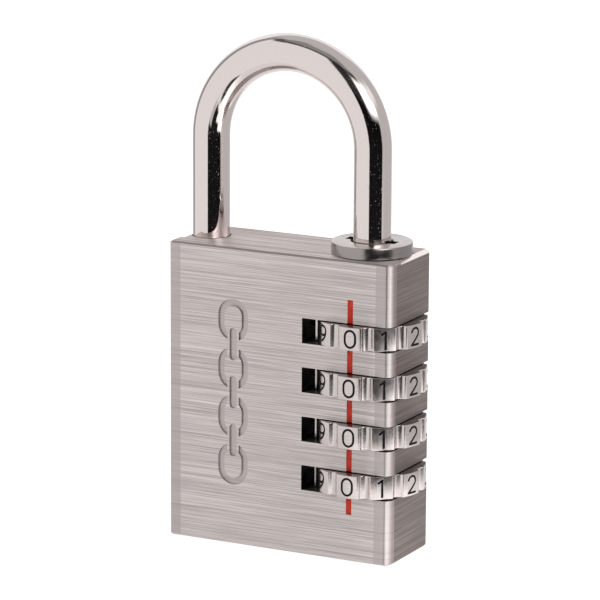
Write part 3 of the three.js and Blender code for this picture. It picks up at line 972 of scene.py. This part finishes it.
def hub_mesh():
    """A hub about its dial's axis, standing at its dial's middle height."""
    top = DIAL_HALF
    ring = -DIAL_HALF
    bottom = top + GAP - DIAL_PITCH
    flange_top = -SLOT_HALF - 0.9
    flange_low = flange_top - HUB_FLANGE
    edge = 0.12
    profile = [
        (HUB_BORE, ring),
        (GATE_RADIUS, ring),
        (GATE_RADIUS, bottom + edge),
        (GATE_RADIUS + edge, bottom),
        (HUB_RADIUS - edge, bottom),
        (HUB_RADIUS, bottom + edge),
        (HUB_RADIUS, flange_low),
        (TOOTH_RADIUS - edge, flange_low),
        (TOOTH_RADIUS, flange_low + edge),
        (TOOTH_RADIUS, flange_top - edge),
        (TOOTH_RADIUS - edge, flange_top),
        (HUB_RADIUS, flange_top),
        (HUB_RADIUS, top - edge),
        (HUB_RADIUS - edge, top),
        (HUB_BORE + edge, top),
        (HUB_BORE, top - edge),
    ]
    mesh = lathe(profile, 0)
    core = HUB_RADIUS - GAP
    for bar in star_bars(TOOTH_RADIUS, TOOTH_WIDTH, top - TOOTH_HEIGHT, top):
        bar = combine(bar, cylinder(0, core, top - TOOTH_HEIGHT - 1, top + 1))
        mesh = combine(mesh, bar, "UNION")
    half = GATE_WIDTH / 2
    gate = cylinder(0, GATE_RADIUS, ring - 1, top + 1)
    gate = combine(gate, block(-half, half, 0, BORE_RADIUS, ring - 2, top + 2), "INTERSECT")
    return combine(mesh, gate)


def make_hubs():
    pattern = hub_mesh()
    for i, z in enumerate(DIAL_Z, start=1):
        mesh = pattern.copy()
        mesh.transform(Matrix.Translation((HEEL_X, 0, z)))
        piece(f"code_hub_{i}", mesh, f"hub_{i}", [f"hub_{i}"], [BRASS], 25)
    bpy.data.meshes.remove(pattern)


def make_washer():
    low, high = box_mm("spring_washer")
    outer = high.x - HEEL_X
    edge = 0.1
    profile = [
        (HUB_BORE, low.z),
        (outer - edge, low.z),
        (outer, low.z + edge),
        (outer, high.z - edge),
        (outer - edge, high.z),
        (HUB_BORE, high.z),
    ]
    return piece("washer", lathe(profile, HEEL_X), "hub_4", ["spring_washer"], [STEEL], 25)


def make_hub_spring():
    """A helix whose last half turns lie flat, as on a real compression spring."""
    low, high = box_mm("hub_spring")
    wire = 0.3
    radius = high.x - HEEL_X - wire
    turns, steps = 2.5, 160
    points = []
    for i in range(steps + 1):
        share = i / steps
        rise = min(1.0, max(0.0, (share - 0.12) / 0.76))
        z = low.z + wire + (high.z - low.z - 2 * wire) * rise
        points.append(polar(radius, 360 * turns * share, z) + Vector((HEEL_X, 0, 0)))
    mesh = sweep(points, [wire] * len(points), 12, side_hint=Vector((0, 0, 1)))
    made = piece("compression_spring", mesh, "lock_body", ["hub_spring"], [SPRING_STEEL], 40)
    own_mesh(made)
    return made


def ribbon(path, thickness, half_width):
    """A strip of constant thickness that follows a path of (x, z), its width along Y."""
    rings = []
    for i, (x, z) in enumerate(path):
        x0, z0 = path[max(i - 1, 0)]
        x1, z1 = path[min(i + 1, len(path) - 1)]
        along = Vector((x1 - x0, 0, z1 - z0)).normalized()
        out = Vector((along.z, 0, -along.x)) * thickness / 2
        middle = Vector((x, 0, z))
        side = Vector((0, half_width, 0))
        rings.append([middle + out - side, middle + out + side, middle - out + side, middle - out - side])
    return loft(rings)


def make_detent_spring():
    """A spring strip with one smooth finger for each dial."""
    low, high = box_mm("detent_spring")
    thickness = 0.4
    rest_x = low.x + thickness / 2
    crest = high.x - thickness / 2 - rest_x
    finger_half = 1.9
    path = [(rest_x, low.z)]
    steps = 16
    for z in reversed(DIAL_Z):
        for i in range(steps + 1):
            share = 2 * i / steps - 1
            path.append((rest_x + crest * (0.5 + 0.5 * math.cos(math.pi * share)), z + finger_half * share))
    path.append((rest_x, high.z))
    mesh = ribbon(path, thickness * 0.96, (high.y - low.y) / 2)
    return piece("detent_strip", mesh, "lock_body", ["detent_spring"], [SPRING_STEEL], 40)


def make_detent_plug():
    low, high = box_mm("detent_plug")
    radius = high.x - DETENT_X
    edge = 0.2
    profile = [
        (radius - edge, low.z),
        (radius, low.z + edge),
        (radius, high.z - edge),
        (radius - edge, high.z),
    ]
    mesh = spindle(profile, DETENT_X)
    return piece("hole_plug", mesh, "lock_body", ["detent_plug"], [ENGRAVED], 25)


# ---------- Studio ----------

WHITE = (1.0, 1.0, 1.0, 1.0)
CAMERA_TARGET = Vector((-0.25, 0.92, 38.86))
CAMERA_DISTANCE = 619.7
CAMERA_AZIMUTH = 27.24
CAMERA_ELEVATION = 12.97
CAMERA_ROLL = 0.32
CAMERA_LENS = 236.3

# Cards of the light tent: azimuth range from the camera's side (right is positive), elevation
# range, softness of the edges, all in degrees, and brightness.
TENT_BASE = 0.52
TENT_CARDS = (
    (-215, -143, -90, 20, 10, 0.9),  # white background behind the lock
    (-215, -143, 18, 44, 9, 0.95),
    (-143, -121, -14, 56, 8, 0.3),  # gap beside the panel
    (-121, -22, -90, 54, 3, 0.82),  # large soft panel on the left
    (-22, 12, -90, -30, 6, 0.82),  # the panel's foot
    (-112, 34, 58, 80, 10, 0.26),  # dim ceiling over the panel
    (-124, 10, 54, 62, 4, 0.1),
    (6, 68, -52, -14, 9, 1.2),  # pale table on the right
    (46, 68, -42, -17, 9, 2.0),
    (-22, 57, -17, 21, 3, 0.005),  # dark room behind the camera
    (-6, 34, -25, -12, 4, 0.01),
    (-6, 18, -34, -20, 4, 0.01),
    (-30, 6, -51, -38, 5, 0.03),
    (-20, 14, 18, 57, 7, 0.03),
    (10, 42, 42, 58, 8, 0.07),
    (14, 60, 21, 43, 19, 3.5),  # key light
    (48, 92, 28, 45, 14, 0.95),
)


def make_camera():
    azimuth, elevation = math.radians(CAMERA_AZIMUTH), math.radians(CAMERA_ELEVATION)
    level = math.cos(elevation)
    back = Vector((math.sin(azimuth) * level, -math.cos(azimuth) * level, math.sin(elevation)))
    right = Vector((math.cos(azimuth), math.sin(azimuth), 0))
    data = bpy.data.cameras.new("camera")
    data.lens = CAMERA_LENS
    data.clip_start = 0.01
    data.clip_end = 20
    camera = bpy.data.objects.new("camera", data)
    turn = Matrix((right, back.cross(right), back)).transposed().to_4x4()
    roll = Matrix.Rotation(math.radians(CAMERA_ROLL), 4, "Z")
    camera.matrix_world = Matrix.Translation((CAMERA_TARGET + back * CAMERA_DISTANCE) * MM) @ turn @ roll
    bpy.context.scene.collection.objects.link(camera)
    bpy.context.scene.camera = camera


def window(tree, value, low, high, soft):
    """1 between low and high, 0 outside, with soft edges."""
    rise = remap(tree, value, low - soft / 2, low + soft / 2, smooth=True)
    fall = remap(tree, value, high - soft / 2, high + soft / 2, 1.0, 0.0, smooth=True)
    return maths(tree, "MULTIPLY", rise, fall)


def view_angles(tree):
    """Azimuth and elevation of a ray, in degrees, with azimuth 0 on the camera's side."""
    direction = add(tree, "ShaderNodeTexCoord").outputs["Generated"]
    inputs = {"Vector": direction, "Angle": -math.radians(CAMERA_AZIMUTH)}
    turned = add(tree, "ShaderNodeVectorRotate", inputs, rotation_type="Z_AXIS")
    parts = add(tree, "ShaderNodeSeparateXYZ", {"Vector": turned.outputs[0]})
    forward = maths(tree, "MULTIPLY", parts.outputs["Y"], -1.0)
    azimuth = maths(tree, "DEGREES", maths(tree, "ARCTAN2", parts.outputs["X"], forward))
    elevation = maths(tree, "DEGREES", maths(tree, "ARCSINE", parts.outputs["Z"]))
    behind = maths(tree, "SUBTRACT", azimuth, 360.0)
    past_seam = maths(tree, "GREATER_THAN", azimuth, 360.0 + TENT_CARDS[0][0])
    wrapped = add(tree, "ShaderNodeMix", {0: past_seam, 2: azimuth, 3: behind}).outputs[0]
    return wrapped, elevation


def make_tent():
    """World light: a pale tent with soft cards, fixed in the part's frame. The camera sees white."""
    world = bpy.data.worlds.new("light_tent")
    bpy.context.scene.world = world
    world.use_nodes = True
    tree = world.node_tree
    azimuth, elevation = view_angles(tree)
    light = TENT_BASE
    for left, right, low, high, soft, value in TENT_CARDS:
        across = window(tree, azimuth, left, right, soft)
        card = maths(tree, "MULTIPLY", across, window(tree, elevation, low, high, soft))
        light = add(tree, "ShaderNodeMix", {0: card, 2: light, 3: value}).outputs[0]
    seen = add(tree, "ShaderNodeLightPath").outputs["Is Camera Ray"]
    background = tree.nodes["Background"]
    strength = add(tree, "ShaderNodeMix", {0: seen, 2: light, 3: 1.0}).outputs[0]
    tree.links.new(strength, background.inputs["Strength"])
    background.inputs["Color"].default_value = WHITE


FLOOR_HALF = 3.0  # metres
FLOOR_DROP = 0.0001  # metres below the part, so that the two don't share a plane
FLOOR_GREY = 0.9
FLOOR_GLOW = 0.7  # lifts the floor to the white that the camera sees behind it
FLOOR_REACH = 62  # millimetres of floor that the metal mirrors; beyond that it sees the tent
KEY_POOL_AZIMUTH = 36  # the key light's pool on the floor, from the camera's side
KEY_POOL_EDGES = (14, 40)  # from the part's axis, in millimetres
KEY_POOL_GLOW = (0.75, 1.5)


def floor_as_mirrored(tree):
    """The floor as the metal sees it: a glowing patch round the part, brighter towards the key light."""
    place = add(tree, "ShaderNodeNewGeometry").outputs["Position"]
    away = add(tree, "ShaderNodeVectorMath", {0: place}, operation="LENGTH").outputs["Value"]
    far = remap(tree, away, FLOOR_REACH * 0.9 * MM, FLOOR_REACH * 1.1 * MM)
    clear = add(tree, "ShaderNodeBsdfTransparent").outputs[0]
    towards_key = math.radians(CAMERA_AZIMUTH + KEY_POOL_AZIMUTH)
    key_side = (math.sin(towards_key), -math.cos(towards_key), 0)
    dot = add(tree, "ShaderNodeVectorMath", {0: place, 1: key_side}, operation="DOT_PRODUCT")
    edges = [edge * MM for edge in KEY_POOL_EDGES]
    glow = remap(tree, dot.outputs["Value"], *edges, *KEY_POOL_GLOW)
    lit = add(tree, "ShaderNodeEmission", {"Color": WHITE, "Strength": glow}).outputs[0]
    return add(tree, "ShaderNodeMixShader", {0: far, 1: lit, 2: clear}).outputs[0]


def make_floor():
    """A pale sweep."""
    mesh = bpy.data.meshes.new("floor")
    z = BODY_LOW.z * MM - FLOOR_DROP
    corners = [(x * FLOOR_HALF, y * FLOOR_HALF, z) for x, y in ((-1, -1), (1, -1), (1, 1), (-1, 1))]
    mesh.from_pydata(corners, [], [(0, 1, 2, 3)])
    floor = bpy.data.objects.new("floor", mesh)
    bpy.context.scene.collection.objects.link(floor)
    material, tree, shader = new_material("pale_floor")
    shader.inputs["Base Color"].default_value = (FLOOR_GREY, FLOOR_GREY, FLOOR_GREY, 1.0)
    shader.inputs["Roughness"].default_value = 0.9
    shader.inputs["Emission Color"].default_value = WHITE
    shader.inputs["Emission Strength"].default_value = FLOOR_GLOW
    glossy = add(tree, "ShaderNodeLightPath").outputs["Is Glossy Ray"]
    seen = add(tree, "ShaderNodeMixShader", {0: glossy, 1: shader.outputs[0], 2: floor_as_mirrored(tree)})
    tree.links.new(seen.outputs[0], tree.nodes["Material Output"].inputs["Surface"])
    mesh.materials.append(material)
    floor.visible_shadow = False


make_camera()
make_tent()
make_floor()
bpy.context.scene.view_settings.view_transform = "Standard"

make_body()
make_index_lines()
make_shackle()
make_collar()
make_sleeve()
make_dials()
make_hubs()
make_washer()
make_hub_spring()
make_detent_spring()
make_detent_plug()
